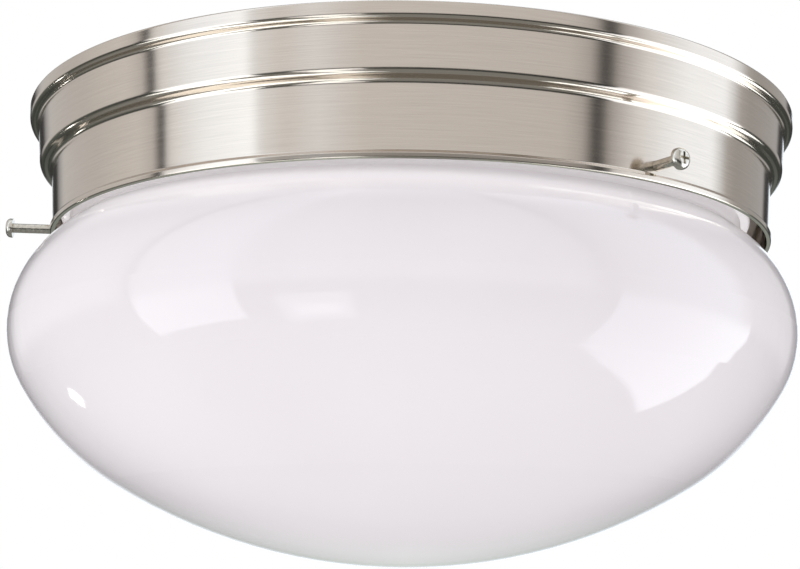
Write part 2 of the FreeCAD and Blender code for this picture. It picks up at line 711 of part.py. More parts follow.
def make_ground_screw():
    """Ground screw in the strap, with a slotted head under it."""
    x = "Dims.ground_offset"
    shank = cylinder(
        "ground_shank", "Dims.ground_radius", "Dims.strap_sheet", x, None, "-Dims.strap_sheet"
    )
    low = "-Dims.strap_sheet - Dims.ground_head_height"
    head = cylinder(
        "ground_head", "Dims.ground_head_radius", "Dims.ground_head_height", x, None, low
    )
    slot = box(
        "ground_slot",
        "2 * Dims.ground_head_radius + 2 * Dims.cut_overrun",
        "Dims.slot_width",
        "Dims.slot_depth + Dims.cut_overrun",
        f"{x} - Dims.ground_head_radius - Dims.cut_overrun",
        "-Dims.slot_width / 2",
        f"{low} - Dims.cut_overrun",
    )
    node("ground_screw", less("slotted_ground", joined("ground_solid", [shank, head]), slot))


# Lamps and sockets, each made along +X from the bulb's tip contact
def set_in_lamp(thing, side):
    """Puts a piece made along +X from the bulb's tip on the left or right lamp's axis."""
    if side > 0:
        turn(thing, FreeCAD.Vector(0, 0, 1), 180)
    return place(thing, f"{side} * {LAMP_REACH}", f"-{side} * Dims.lamp_offset", LAMP_LEVEL)


def lamp_turned(name, side, corners):
    """Piece turned about the lamp's axis from an outline of distance and radius."""
    body = new_body(name)
    profile = new_sketch(body, f"{name}_profile")
    outline(profile, corners)
    revolve(body, profile, f"{name}_turned", "H_Axis")
    return set_in_lamp(body, side)


def make_socket(side, word):
    """Porcelain socket with its screw shell and centre tongue."""
    bore = "(Dims.shell_radius + Dims.shell_wall)"
    floor = "(-Dims.shell_floor)"
    back = "(-Dims.socket_back)"
    porcelain = lamp_turned(
        f"socket_{word}",
        side,
        [
            (back, ZERO),
            (floor, ZERO),
            (floor, bore),
            ("Dims.socket_mouth", bore),
            ("Dims.socket_mouth", "Dims.socket_radius - Dims.socket_mouth_round"),
            ("Dims.socket_mouth - Dims.socket_mouth_round", "Dims.socket_radius"),
            ("Dims.socket_shoulder", "Dims.socket_radius"),
            (ZERO, "Dims.socket_back_radius"),
            (back, "Dims.socket_back_radius"),
        ],
    )
    tools = []
    for spread in (-1, 1):
        tools.append(
            cylinder(
                f"lead_hole_{word}_{spread + 1}",
                "Dims.lead_radius + Dims.lead_hole_clearance",
                "Dims.socket_back_radius",
                f"{side} * ({LAMP_REACH} + Dims.lead_setback)",
                f"-{side} * Dims.lamp_offset + {spread} * Dims.lead_spread",
                f"{LEAD_END}",
            )
        )
    fixing = cylinder(f"fixing_hole_{word}", "Dims.fixing_radius", "Dims.fixing_length")
    turn(fixing, FreeCAD.Vector(0, 1, 0), -side * 90)
    reach = f"{side} * ({LAMP_REACH} + Dims.socket_back + Dims.bracket_sheet)"
    place(fixing, reach, f"-{side} * Dims.lamp_offset", LAMP_LEVEL)
    tools.append(fixing)
    body = less(f"drilled_socket_{word}", porcelain, joined(f"socket_tools_{word}", tools))
    node(f"socket_body_{word}", body)
    shell = lamp_turned(
        f"shell_{word}",
        side,
        [
            (floor, "Dims.shell_hole_radius"),
            (floor, bore),
            ("Dims.shell_length", bore),
            ("Dims.shell_length", "Dims.shell_radius"),
            (f"{floor} + Dims.shell_wall", "Dims.shell_radius"),
            (f"{floor} + Dims.shell_wall", "Dims.shell_hole_radius"),
        ],
    )
    node(f"socket_shell_{word}", shell)
    tongue = lamp_turned(
        f"tongue_{word}",
        side,
        [
            (floor, ZERO),
            (floor, "Dims.tongue_radius"),
            ("-Dims.tip_gap - Dims.shell_wall", "Dims.tongue_radius"),
            ("-Dims.tip_gap", "Dims.tongue_radius - Dims.shell_wall"),
            ("-Dims.tip_gap", ZERO),
        ],
    )
    node(f"socket_contact_{word}", tongue)


def make_bracket(side, word):
    """Bent bracket: a foot under the plate and a leg behind the socket."""
    body = new_body(f"bracket_{word}")
    profile = new_sketch(body, f"bracket_profile_{word}")
    leg_in = "(-Dims.socket_back)"
    leg_out = f"({leg_in} - Dims.bracket_sheet)"
    top = f"({FLOOR_LOW} + Dims.lamp_drop)"
    under = f"({top} - Dims.bracket_sheet)"
    low = "(-Dims.bracket_width / 2)"
    corners = [
        (leg_out, low),
        (leg_out, top),
        (f"{leg_in} + Dims.bracket_foot", top),
        (f"{leg_in} + Dims.bracket_foot", under),
        (leg_in, under),
        (leg_in, low),
    ]
    outline(profile, corners)
    bend = body.newObject("PartDesign::Pad", f"bracket_sheet_{word}")
    bend.Profile = profile
    bend.Midplane = True
    bend.setExpression("Length", "Dims.bracket_width")
    doc.recompute()
    outer = body.newObject("PartDesign::Fillet", f"bracket_outer_bend_{word}")
    outer.Base = (bend, straight_edges(bend, "y", leg_out, top))
    outer.setExpression("Radius", "Dims.bracket_bend")
    doc.recompute()
    inner = body.newObject("PartDesign::Fillet", f"bracket_inner_bend_{word}")
    inner.Base = (outer, straight_edges(outer, "y", leg_in, under))
    inner.setExpression("Radius", "Dims.bracket_bend - Dims.bracket_sheet")
    set_in_lamp(body, side)
    tools = []
    for step in (-1, 1):
        x, y = bracket_rivet_place(side, step)
        tools.append(
            cylinder(
                f"foot_hole_{word}_{step + 1}",
                "Dims.rivet_radius",
                "Dims.bracket_sheet + 2 * Dims.cut_overrun",
                x,
                y,
                f"{FLOOR_LOW} - Dims.bracket_sheet - Dims.cut_overrun",
            )
        )
    screw_hole = cylinder(f"leg_hole_{word}", "Dims.fixing_radius", "Dims.fixing_length")
    turn(screw_hole, FreeCAD.Vector(0, 1, 0), -side * 90)
    start = f"({LAMP_REACH} + Dims.socket_back + Dims.bracket_sheet + Dims.cut_overrun)"
    place(screw_hole, f"{side} * {start}", f"-{side} * Dims.lamp_offset", LAMP_LEVEL)
    tools.append(screw_hole)
    drilled = less(f"drilled_bracket_{word}", body, joined(f"bracket_tools_{word}", tools))
    node(f"socket_bracket_{word}", drilled)


def make_fixing(side, word):
    """Screw through the bracket into the back of the porcelain."""
    start = "(-Dims.socket_back - Dims.bracket_sheet)"
    length = f"({start} + Dims.fixing_length)"
    screw = lamp_turned(
        f"fixing_{word}",
        side,
        [
            (f"{start} - Dims.fixing_head_height", ZERO),
            (f"{start} - Dims.fixing_head_height", "Dims.fixing_head_radius - Dims.slot_depth"),
            (f"{start} - Dims.slot_depth", "Dims.fixing_head_radius"),
            (start, "Dims.fixing_head_radius"),
            (start, "Dims.fixing_radius"),
            (length, "Dims.fixing_radius"),
            (length, ZERO),
        ],
    )
    node(f"socket_screw_{word}", screw)


def bulb_face(inset):
    """Half outline of the bulb's glass, moved in by inset, as points, arcs and lines."""
    ball = size("Dims.bulb_radius")
    hollow = size("Dims.bulb_neck_round")
    neck = size("Dims.bulb_neck_radius")
    middle = size("Dims.bulb_length - Dims.bulb_radius")
    start = size("Dims.bulb_glass_start")
    back = math.sqrt((ball + hollow) ** 2 - (neck + hollow) ** 2)
    hollow_x = middle - back
    tilt = math.atan2(neck + hollow, -back)
    around_ball = FreeCAD.Vector(math.cos(tilt), 0, math.sin(tilt))
    ball_middle = FreeCAD.Vector(middle, 0, 0)
    hollow_middle = FreeCAD.Vector(hollow_x, 0, neck + hollow)
    meet = ball_middle + around_ball * (ball - inset)
    half = tilt / 2
    top = ball_middle + FreeCAD.Vector(math.cos(half), 0, math.sin(half)) * (ball - inset)
    crown = ball_middle + FreeCAD.Vector(ball - inset, 0, 0)
    foot = FreeCAD.Vector(hollow_x, 0, neck - inset)
    to_meet = (ball_middle - hollow_middle) * (1 / (ball + hollow))
    to_foot = FreeCAD.Vector(0, 0, -1)
    half_way = (to_meet + to_foot).normalize()
    waist = hollow_middle + half_way * (hollow + inset)
    return start, foot, waist, meet, top, crown


def make_bulb(side, word):
    """Bulb: hollow glass, screw base, insulator and tip contact, all on one moving body."""
    outer = bulb_face(0)
    inner = bulb_face(size("Dims.bulb_wall"))
    edges = []
    for start, foot, waist, meet, top, crown in (outer, inner):
        mouth = FreeCAD.Vector(start, 0, foot.z)
        edges.append(
            [
                Part.makeLine(mouth, foot),
                Part.Arc(foot, waist, meet).toShape(),
                Part.Arc(meet, top, crown).toShape(),
            ]
        )
    closing = [
        Part.makeLine(outer[5], inner[5]),
        Part.makeLine(
            FreeCAD.Vector(outer[0], 0, outer[1].z), FreeCAD.Vector(inner[0], 0, inner[1].z)
        ),
    ]
    wire = Part.Wire(Part.__sortEdges__(edges[0] + edges[1] + closing))
    glass = Part.Face(wire).revolve(FreeCAD.Vector(), FreeCAD.Vector(1, 0, 0), 360)
    thing = doc.addObject("Part::Feature", f"bulb_glass_{word}_solid")
    thing.Shape = glass
    set_in_lamp(thing, side)
    node(f"bulb_glass_{word}", thing)
    inside = "(Dims.base_radius - Dims.base_wall)"
    neck = "Dims.bulb_neck_radius"
    base = lamp_turned(
        f"base_{word}",
        side,
        [
            ("Dims.base_start", inside),
            ("Dims.base_start", "Dims.base_radius"),
            ("Dims.bulb_glass_start - 2 * Dims.base_wall", "Dims.base_radius"),
            ("Dims.bulb_glass_start", f"{neck} + Dims.base_wall"),
            ("Dims.base_end", f"{neck} + Dims.base_wall"),
            ("Dims.base_end", neck),
            ("Dims.bulb_glass_start", neck),
            ("Dims.bulb_glass_start", inside),
        ],
    )
    node(f"bulb_base_{word}", base)
    insulator = lamp_turned(
        f"insulator_{word}",
        side,
        [
            ("Dims.insulator_start", ZERO),
            ("Dims.insulator_start", "Dims.insulator_radius"),
            ("Dims.base_start", "Dims.base_radius"),
            ("Dims.base_start", ZERO),
        ],
    )
    node(f"bulb_insulator_{word}", insulator)
    tip = lamp_turned(
        f"tip_{word}",
        side,
        [
            (ZERO, ZERO),
            (ZERO, "Dims.tip_radius / 2"),
            ("Dims.insulator_start", "Dims.tip_radius"),
            ("Dims.insulator_start", ZERO),
        ],
    )
    node(f"bulb_contact_{word}", tip)


# Leads between the sockets and the wire connectors
LEAD_END = f"({LAMP_LEVEL} + Dims.socket_back_radius - Dims.lead_end_depth)"
INNER_ROUTE_SHARES = [(0.62, 0.42), (0.37, 0.27), (0.13, 0.06)]
OUTER_ROUTE_SHARES = [(0.62, 0.58), (0.37, 0.39), (0.13, 0.19)]


def smooth_path(points):
    """Straight runs joined by tangent arcs, each as large as its two runs allow."""
    edges = []
    here = points[0]
    radii = []
    for before, corner, after in zip(points, points[1:], points[2:]):
        into = (before - corner).normalize()
        away = (after - corner).normalize()
        turn_angle = math.pi - into.getAngle(away)
        shorter = min((before - corner).Length, (after - corner).Length)
        setback = SETBACK_SHARE * shorter
        start = corner + into * setback
        end = corner + away * setback
        radius = setback / math.tan(turn_angle / 2)
        towards = (into + away).normalize()
        centre = corner + towards * math.hypot(radius, setback)
        middle = centre - towards * radius
        edges.append(Part.makeLine(here, start))
        edges.append(Part.Arc(start, middle, end).toShape())
        radii.append(radius)
        here = end
    edges.append(Part.makeLine(here, points[-1]))
    return Part.Wire(edges), radii


def make_lead(name, side, place_sign, shares, colour_sign):
    """Insulated lead from a socket, along the plate and up through the bushing to a connector."""
    back = size(f"{LAMP_REACH} + Dims.lead_setback")
    offset = size("Dims.lamp_offset") + place_sign * size("Dims.lead_spread")
    level = size(LEAD_LEVEL)
    hole_x = side * size("Dims.bushing_bore_radius / 2")
    hole_y = colour_sign * size("Dims.bushing_bore_radius") * BUSHING_PLACE_SHARE
    points = [
        FreeCAD.Vector(side * back, -side * offset, size(LEAD_END)),
        FreeCAD.Vector(side * back, -side * offset, level),
    ]
    for along, across in shares:
        points.append(FreeCAD.Vector(side * back * along, -side * offset * across, level))
    nut_y = colour_sign * size("Dims.nut_start + Dims.nut_bore_depth")
    nut_level = size(NUT_LEVEL)
    beside = side * size("Dims.lead_radius + Dims.lead_hole_clearance")
    points += [
        FreeCAD.Vector(hole_x, hole_y, level),
        FreeCAD.Vector(hole_x, hole_y, nut_level),
        FreeCAD.Vector(beside, nut_y - colour_sign * size("Dims.nut_length / 2"), nut_level),
        FreeCAD.Vector(beside, nut_y, nut_level),
    ]
    path, radii = smooth_path(points)
    print(name, "length", round(path.Length, 1), "radii", [round(r, 1) for r in radii])
    section = Part.Circle(points[0], FreeCAD.Vector(0, 0, 1), size("Dims.lead_radius"))
    tube = path.makePipeShell([Part.Wire([section.toShape()])], True, False)
    area = math.pi * size("Dims.lead_radius") ** 2
    print(name, "volume over section times length", round(tube.Volume / area / path.Length, 4))
    thing = doc.addObject("Part::Feature", f"{name}_solid")
    thing.Shape = tube
    node(name, thing)


def make_wiring():
    """Four leads, the bushing that they pass and the two connectors that join them."""
    make_lead("lead_white_left", -1, -1, INNER_ROUTE_SHARES, -1)
    make_lead("lead_black_left", -1, 1, OUTER_ROUTE_SHARES, 1)
    make_lead("lead_black_right", 1, -1, INNER_ROUTE_SHARES, 1)
    make_lead("lead_white_right", 1, 1, OUTER_ROUTE_SHARES, -1)
    body = new_body("bushing")
    profile = new_sketch(body, "bushing_profile")
    flange = "(Dims.wire_hole_radius + Dims.bushing_flange)"
    outline(
        profile,
        [
            ("Dims.bushing_bore_radius", f"{FLOOR_LOW} - Dims.bushing_lip"),
            (flange, f"{FLOOR_LOW} - Dims.bushing_lip"),
            (flange, FLOOR_LOW),
            ("Dims.wire_hole_radius", FLOOR_LOW),
            ("Dims.wire_hole_radius", FLOOR_TOP),
            (flange, FLOOR_TOP),
            (flange, f"{FLOOR_TOP} + Dims.bushing_lip"),
            ("Dims.bushing_bore_radius", f"{FLOOR_TOP} + Dims.bushing_lip"),
        ],
    )
    revolve(body, profile, "bushing_turned")
    node("lead_bushing", body)
    for word, colour_sign in (("black", 1), ("white", -1)):
        cone = new_body(f"connector_{word}")
        shape = new_sketch(cone, f"connector_profile_{word}")
        end = "(Dims.nut_start + Dims.nut_length)"
        bore_end = "(Dims.nut_start + Dims.nut_bore_depth)"
        outline(
            shape,
            [
                ("Dims.nut_start", NUT_BORE),
                ("Dims.nut_start", "Dims.nut_radius"),
                (end, "Dims.nut_end_radius"),
                (end, ZERO),
                (bore_end, ZERO),
                (bore_end, NUT_BORE),
            ],
        )
        revolve(cone, shape, f"connector_turned_{word}", "H_Axis")
        turn(cone, FreeCAD.Vector(0, 0, 1), 90 * colour_sign)
        place(cone, None, None, NUT_LEVEL)
        node(f"wire_connector_{word}", cone)


# Fitter screws
def make_fitter_screws():
    """Three long round-head screws whose tips hold the glass by its lip."""
    gaps = ("tight_screw_gap", "tight_screw_gap", "slack_screw_gap")
    for index, (word, gap) in enumerate(zip(("right", "rear", "left"), gaps)):
        bearing = f"(Dims.fitter_angle + {index} * 360 / Dims.fitter_screws)"
        tip = f"({NECK} - Dims.glass_shift * cos({bearing} * 1deg) + Dims.{gap})"
        head = f"({tip} + Dims.screw_length)"
        face = f"({head} + Dims.screw_head_height)"
        body = new_body(f"fitter_{word}")
        profile = new_sketch(body, f"fitter_profile_{word}")
        outline(
            profile,
            [
                (tip, ZERO),
                (tip, "Dims.screw_radius - Dims.screw_tip_bevel"),
                (f"{tip} + Dims.screw_tip_bevel", "Dims.screw_radius"),
                (head, "Dims.screw_radius"),
                (head, "Dims.screw_head_radius"),
                (face, "Dims.screw_head_radius"),
                (face, ZERO),
            ],
        )
        turned = revolve(body, profile, f"fitter_turned_{word}", "H_Axis")
        rim = [("Dims.screw_head_radius", face)]
        round_rings(body, f"fitter_dome_{word}", turned, rim, "Dims.screw_dome", "x")
        cross = new_sketch(body, f"cross_recess_{word}", "YZ_Plane", side=face)
        arm = "Dims.cross_span / 2"
        half = "Dims.cross_width / 2"
        outline(
            cross,
            [
                (f"-{arm}", f"-{half}"),
                (f"-{half}", f"-{half}"),
                (f"-{half}", f"-{arm}"),
                (half, f"-{arm}"),
                (half, f"-{half}"),
                (arm, f"-{half}"),
                (arm, half),
                (half, half),
                (half, arm),
                (f"-{half}", arm),
                (f"-{half}", half),
                (f"-{arm}", half),
            ],
        )
        recess = body.newObject("PartDesign::Pocket", f"cross_{word}")
        recess.Profile = cross
        recess.setExpression("Length", "Dims.cross_depth")
        turn(body, FreeCAD.Vector(0, 0, 1), size(bearing))
        place(body, None, None, SCREW_LEVEL)
        node(f"fitter_screw_{word}", body)


# Glass bowl
def glass_line(inset):
    """Centres, radii and turning directions of the bowl's tangent arcs, moved in by inset."""
    depth = size("Dims.bowl_height")
    swell = size("Dims.glass_swell")
    widest = size(GLASS_OUT)
    level = size(f"{EDGE} - Dims.glass_drop")
    side = depth * SIDE_ROUND_SHARE
    belly = depth * BELLY_ROUND_SHARE
    lean = math.radians(90 * SIDE_TURN_SHARE)
    to_side = FreeCAD.Vector(math.cos(lean), 0, -math.sin(lean))
    side_middle = FreeCAD.Vector(widest - side, 0, level)
    belly_middle = side_middle + to_side * (side - belly)
    over = belly_middle.z - level + depth
    bottom = (belly_middle.x**2 + over**2 - belly**2) / (2 * (over - belly))
    bottom_middle = FreeCAD.Vector(0, 0, level - depth + bottom)
    to_belly = (belly_middle - bottom_middle).normalize()

    rise = size(f"{LIP_LOW} - Dims.neck_height") - level
    shoulder = (swell**2 + rise**2) / (2 * swell)
    shoulder_middle = FreeCAD.Vector(widest - shoulder, 0, level)
    across = size(NECK) - inset - shoulder_middle.x
    to_neck = FreeCAD.Vector(across, 0, math.sqrt((shoulder - inset) ** 2 - across**2)).normalize()

    down = FreeCAD.Vector(0, 0, -1)
    outward = FreeCAD.Vector(1, 0, 0)
    arcs = [
        bowl_arc(bottom_middle, bottom - inset, down, to_belly),
        bowl_arc(belly_middle, belly - inset, to_belly, to_side),
        bowl_arc(side_middle, side - inset, to_side, outward),
        bowl_arc(shoulder_middle, shoulder - inset, outward, to_neck),
    ]
    return arcs, shoulder_middle + to_neck * (shoulder - inset)


def bowl_arc(middle, radius, first, last):
    """Arc about a centre between two directions."""
    between = (first + last).normalize()
    return Part.Arc(middle + first * radius, middle + between * radius, middle + last * radius)


def make_glass():
    """Opal glass bowl with its neck and the lip that hangs on the fitter screws."""
    outer, outer_top = glass_line(0)
    inner, inner_top = glass_line(size("Dims.glass_wall"))
    neck = size(NECK)
    bore = neck - size("Dims.glass_wall")
    lip = neck + size("Dims.lip_overhang")
    low = size(LIP_LOW)
    top = size(LIP_TOP)
    corners = [
        outer_top,
        FreeCAD.Vector(neck, 0, low),
        FreeCAD.Vector(lip, 0, low),
        FreeCAD.Vector(lip, 0, top),
        FreeCAD.Vector(bore, 0, top),
        inner_top,
    ]
    edges = [Part.makeLine(a, b) for a, b in zip(corners, corners[1:])]
    bottom = Part.makeLine(outer[0].StartPoint, inner[0].StartPoint)
    edges += [arc.toShape() for arc in outer + inner] + [bottom]
    wire = Part.Wire(Part.__sortEdges__(edges))
    solid = Part.Face(wire).revolve(FreeCAD.Vector(), FreeCAD.Vector(0, 0, 1), 360)
    lip_edges = ring_list(solid, [(lip, low), (lip, top), (bore, top)])
    solid = solid.makeFillet(size("Dims.lip_round"), lip_edges)
    solid = solid.makeFillet(size("Dims.neck_round"), ring_list(solid, [(neck, outer_top.z)]))
    thing = doc.addObject("Part::Feature", "glass_solid")
    thing.Shape = solid
    place(thing, "-Dims.glass_shift")
    node("glass_shade", thing)


def ring_list(solid, rings):
    """Circular edges of a solid at the given radii and heights."""
    found = []
    for radius, level in rings:
        for edge in solid.Edges:
            if edge.Degenerated or not isinstance(edge.Curve, Part.Circle):
                continue
            same_radius = abs(edge.Curve.Radius - radius) < NEAR
            if same_radius and abs(edge.Curve.Center.z - level) < NEAR:
                found.append(edge)
                break
    if len(found) != len(rings):
        raise ValueError("an edge to be rounded is missing")
    return found


make_canopy()
make_reflector_plate()
make_rivets()
make_pad()
make_strap()
make_stud_hardware()
make_ground_screw()
for lamp_side, lamp_word in ((-1, "left"), (1, "right")):
    make_bracket(lamp_side, lamp_word)
    make_socket(lamp_side, lamp_word)
    make_fixing(lamp_side, lamp_word)
    make_bulb(lamp_side, lamp_word)
make_wiring()
make_fitter_screws()
make_glass()
doc.recompute()

for thing in doc.Objects:
    if "Invalid" in thing.State or "Error" in thing.State:
        raise RuntimeError(f"{thing.Name} failed: {thing.State}")
for name, thing in nodes.items():
    shape = thing.Shape
    if shape.isNull() or not shape.isValid() or not shape.Solids:
        raise RuntimeError(f"{name} has no valid solid")
for name, thing in nodes.items():
    thing.Shape.exportStep(f"parts/{name}.step")
    print(name, len(thing.Shape.Solids), "solids, volume", round(thing.Shape.Volume, 1))
print(len(nodes), "nodes")
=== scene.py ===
import json
import math

import bmesh
import bpy
from mathutils import Matrix, Vector


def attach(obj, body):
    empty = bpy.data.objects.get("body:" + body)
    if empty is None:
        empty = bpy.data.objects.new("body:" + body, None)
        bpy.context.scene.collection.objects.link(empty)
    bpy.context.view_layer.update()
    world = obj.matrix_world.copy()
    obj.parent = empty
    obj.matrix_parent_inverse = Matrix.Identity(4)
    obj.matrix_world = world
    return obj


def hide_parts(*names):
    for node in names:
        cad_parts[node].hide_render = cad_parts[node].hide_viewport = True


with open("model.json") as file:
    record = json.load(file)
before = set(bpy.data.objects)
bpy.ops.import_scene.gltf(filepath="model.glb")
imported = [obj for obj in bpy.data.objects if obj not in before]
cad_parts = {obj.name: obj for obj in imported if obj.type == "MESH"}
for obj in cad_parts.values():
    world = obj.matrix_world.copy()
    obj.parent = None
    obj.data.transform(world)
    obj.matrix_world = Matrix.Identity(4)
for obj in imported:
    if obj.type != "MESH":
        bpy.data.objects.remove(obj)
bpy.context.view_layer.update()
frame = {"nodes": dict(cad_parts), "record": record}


# Node helpers
class Nodes:
    """Small builder for a node tree."""

    def __init__(self, tree):
        self.tree = tree
        self.tree.nodes.clear()

    def add(self, kind, **values):
        node = self.tree.nodes.new(kind)
        for name, value in values.items():
            setattr(node, name, value)
        return node

    def link(self, source, target):
        self.tree.links.new(source, target)

    def math(self, operation, first, second=None, clamp=False):
        node = self.add("ShaderNodeMath", operation=operation, use_clamp=clamp)
        for socket, value in zip(node.inputs, (first, second)):
            if value is None:
                continue
            if isinstance(value, (int, float)):
                socket.default_value = value
            else:
                self.link(value, socket)
        return node.outputs[0]

    def mix(self, factor, first, second):
        node = self.add("ShaderNodeMix", data_type="RGBA")
        values = ((node.inputs[0], factor), (node.inputs[6], first), (node.inputs[7], second))
        for socket, value in values:
            if isinstance(value, (int, float)):
                socket.default_value = value
            elif isinstance(value, tuple):
                socket.default_value = (*value, 1) if len(value) == 3 else value
            else:
                self.link(value, socket)
        return node.outputs[2]

    def ramp(self, factor, stops, interpolation="EASE"):
        node = self.add("ShaderNodeValToRGB")
        ramp = node.color_ramp
        ramp.interpolation = interpolation
        while len(ramp.elements) < len(stops):
            ramp.elements.new(0.5)
        for element, (place, colour) in zip(ramp.elements, stops):
            element.position = place
            element.color = (*colour, 1)
        self.link(factor, node.inputs[0])
        return node.outputs[0]

    def span(self, value, low, high, smooth=False):
        node = self.add("ShaderNodeMapRange", clamp=True)
        if smooth:
            node.interpolation_type = "SMOOTHSTEP"
        self.link(value, node.inputs[0])
        node.inputs[1].default_value = low
        node.inputs[2].default_value = high
        return node.outputs[0]

    def noise(self, vector, scale, detail=2.0, roughness=0.5):
        node = self.add("ShaderNodeTexNoise")
        node.inputs["Scale"].default_value = scale
        node.inputs["Detail"].default_value = detail
        node.inputs["Roughness"].default_value = roughness
        if vector is not None:
            self.link(vector, node.inputs["Vector"])
        return node.outputs[0]

    def bump(self, height, strength, distance):
        node = self.add("ShaderNodeBump")
        node.inputs["Strength"].default_value = strength
        node.inputs["Distance"].default_value = distance
        self.link(height, node.inputs["Height"])
        return node.outputs[0]


def material(name):
    made = bpy.data.materials.new(name)
    made.use_nodes = True
    nodes = Nodes(made.node_tree)
    surface = nodes.add("ShaderNodeBsdfPrincipled")
    output = nodes.add("ShaderNodeOutputMaterial")
    nodes.link(surface.outputs[0], output.inputs[0])
    return made, nodes, surface


def object_coordinates(nodes):
    return nodes.add("ShaderNodeTexCoord").outputs["Object"]


def lathe_coordinates(nodes, around, along):
    """Coordinates that follow the turning of the piece: bearing, height and radius."""
    split = nodes.add("ShaderNodeSeparateXYZ")
    nodes.link(object_coordinates(nodes), split.inputs[0])
    x, y, z = split.outputs
    bearing = nodes.math("ARCTAN2", y, x)
    squares = nodes.math("ADD", nodes.math("MULTIPLY", x, x), nodes.math("MULTIPLY", y, y))
    radius = nodes.math("SQRT", squares)
    join = nodes.add("ShaderNodeCombineXYZ")
    nodes.link(nodes.math("MULTIPLY", bearing, around), join.inputs[0])
    nodes.link(nodes.math("MULTIPLY", z, along), join.inputs[1])
    nodes.link(nodes.math("MULTIPLY", radius, along), join.inputs[2])
    return join.outputs[0]


def satin_nickel():
    """Nickel plate brushed round the canopy, so that it blurs what it mirrors up and down."""
    made, nodes, surface = material("satin_nickel_brushed")
    lathe = lathe_coordinates(nodes, 2.2, 900.0)
    streaks = nodes.noise(lathe, 3.0, 4.0, 0.65)
    cloud = nodes.noise(object_coordinates(nodes), 26.0, 3.0, 0.55)
    colour = nodes.mix(nodes.span(streaks, 0.25, 0.75), (0.60, 0.534, 0.470), (0.70, 0.622, 0.549))
    tarnish = nodes.math("MULTIPLY", nodes.span(cloud, 0.4, 0.7), 0.25)
    colour = nodes.mix(tarnish, colour, (0.70, 0.615, 0.525))
    nodes.link(colour, surface.inputs["Base Color"])
    surface.inputs["Metallic"].default_value = 1.0
    roughness = nodes.math("ADD", nodes.math("MULTIPLY", streaks, 0.07), 0.10)
    nodes.link(roughness, surface.inputs["Roughness"])
    surface.inputs["Anisotropic"].default_value = 0.85
    surface.inputs["Anisotropic Rotation"].default_value = 0.25
    tangent = nodes.add("ShaderNodeTangent", direction_type="RADIAL", axis="Z")
    nodes.link(tangent.outputs[0], surface.inputs["Tangent"])
    return made


def plated_screw():
    made, nodes, surface = material("plated_screw")
    place = object_coordinates(nodes)
    wear = nodes.noise(place, 900.0, 3.0)
    colour = nodes.mix(nodes.span(wear, 0.35, 0.7), (0.60, 0.56, 0.50), (0.80, 0.76, 0.68))
    nodes.link(colour, surface.inputs["Base Color"])
    surface.inputs["Metallic"].default_value = 1.0
    nodes.link(nodes.math("ADD", nodes.math("MULTIPLY", wear, 0.2), 0.12), surface.inputs["Roughness"])
    return made


# Heights in metres over which a painted glow on the glass's neck rises from none to full: emission that
# stands in for light carried inside the opal wall and lifts the shade that the canopy's hem casts on the
# neck
PAINTED_GLOW_START, PAINTED_GLOW_FULL = -0.062, -0.047
NECK_PAINTED_GLOW = 0.30


def opal_glass():
    """White opal glass with a hard gloss; its neck gives off a painted glow that stands in for light inside
    its wall and lifts the shade under the hem.
    """
    made, nodes, surface = material("opal_glass_white")
    place = object_coordinates(nodes)
    cloud = nodes.noise(place, 9.0, 2.0)
    mottle = nodes.span(cloud, 0.35, 0.65, True)
    colour = nodes.mix(mottle, (0.880, 0.840, 0.868), (0.905, 0.868, 0.893))
    nodes.link(colour, surface.inputs["Base Color"])
    ripple = nodes.noise(place, 14.0, 1.0)
    nodes.link(nodes.math("ADD", nodes.math("MULTIPLY", cloud, 0.03), 0.035), surface.inputs["Roughness"])
    surface.inputs["IOR"].default_value = 1.5
    surface.inputs["Emission Color"].default_value = (1.0, 0.96, 0.98, 1.0)
    split = nodes.add("ShaderNodeSeparateXYZ")
    nodes.link(place, split.inputs[0])
    # Painted glow: emission strength rising up the neck toward the hem, a painted lift of the shade the
    # canopy casts there
    neck = nodes.span(split.outputs[2], PAINTED_GLOW_START, PAINTED_GLOW_FULL, True)
    nodes.link(nodes.math("MULTIPLY", neck, NECK_PAINTED_GLOW), surface.inputs["Emission Strength"])
    surface.inputs["Subsurface Weight"].default_value = 0.4
    surface.inputs["Subsurface Radius"].default_value = (1.0, 1.0, 1.0)
    surface.inputs["Subsurface Scale"].default_value = 0.0015
    nodes.link(nodes.bump(ripple, 0.05, 0.002), surface.inputs["Normal"])
    return made


def plain(name, dark, light, scale, rough, metallic=0.0, bump=0.0, detail=3.0):
    """Material with a fine mottle between two tones."""
    made, nodes, surface = material(name)
    place = object_coordinates(nodes)
    grain = nodes.noise(place, scale, detail)
    nodes.link(nodes.mix(nodes.span(grain, 0.3, 0.7), dark, light), surface.inputs["Base Color"])
    nodes.link(nodes.math("ADD", nodes.math("MULTIPLY", grain, 0.15), rough), surface.inputs["Roughness"])
    surface.inputs["Metallic"].default_value = metallic
    if bump:
        nodes.link(nodes.bump(grain, bump, 0.0003), surface.inputs["Normal"])
    return made


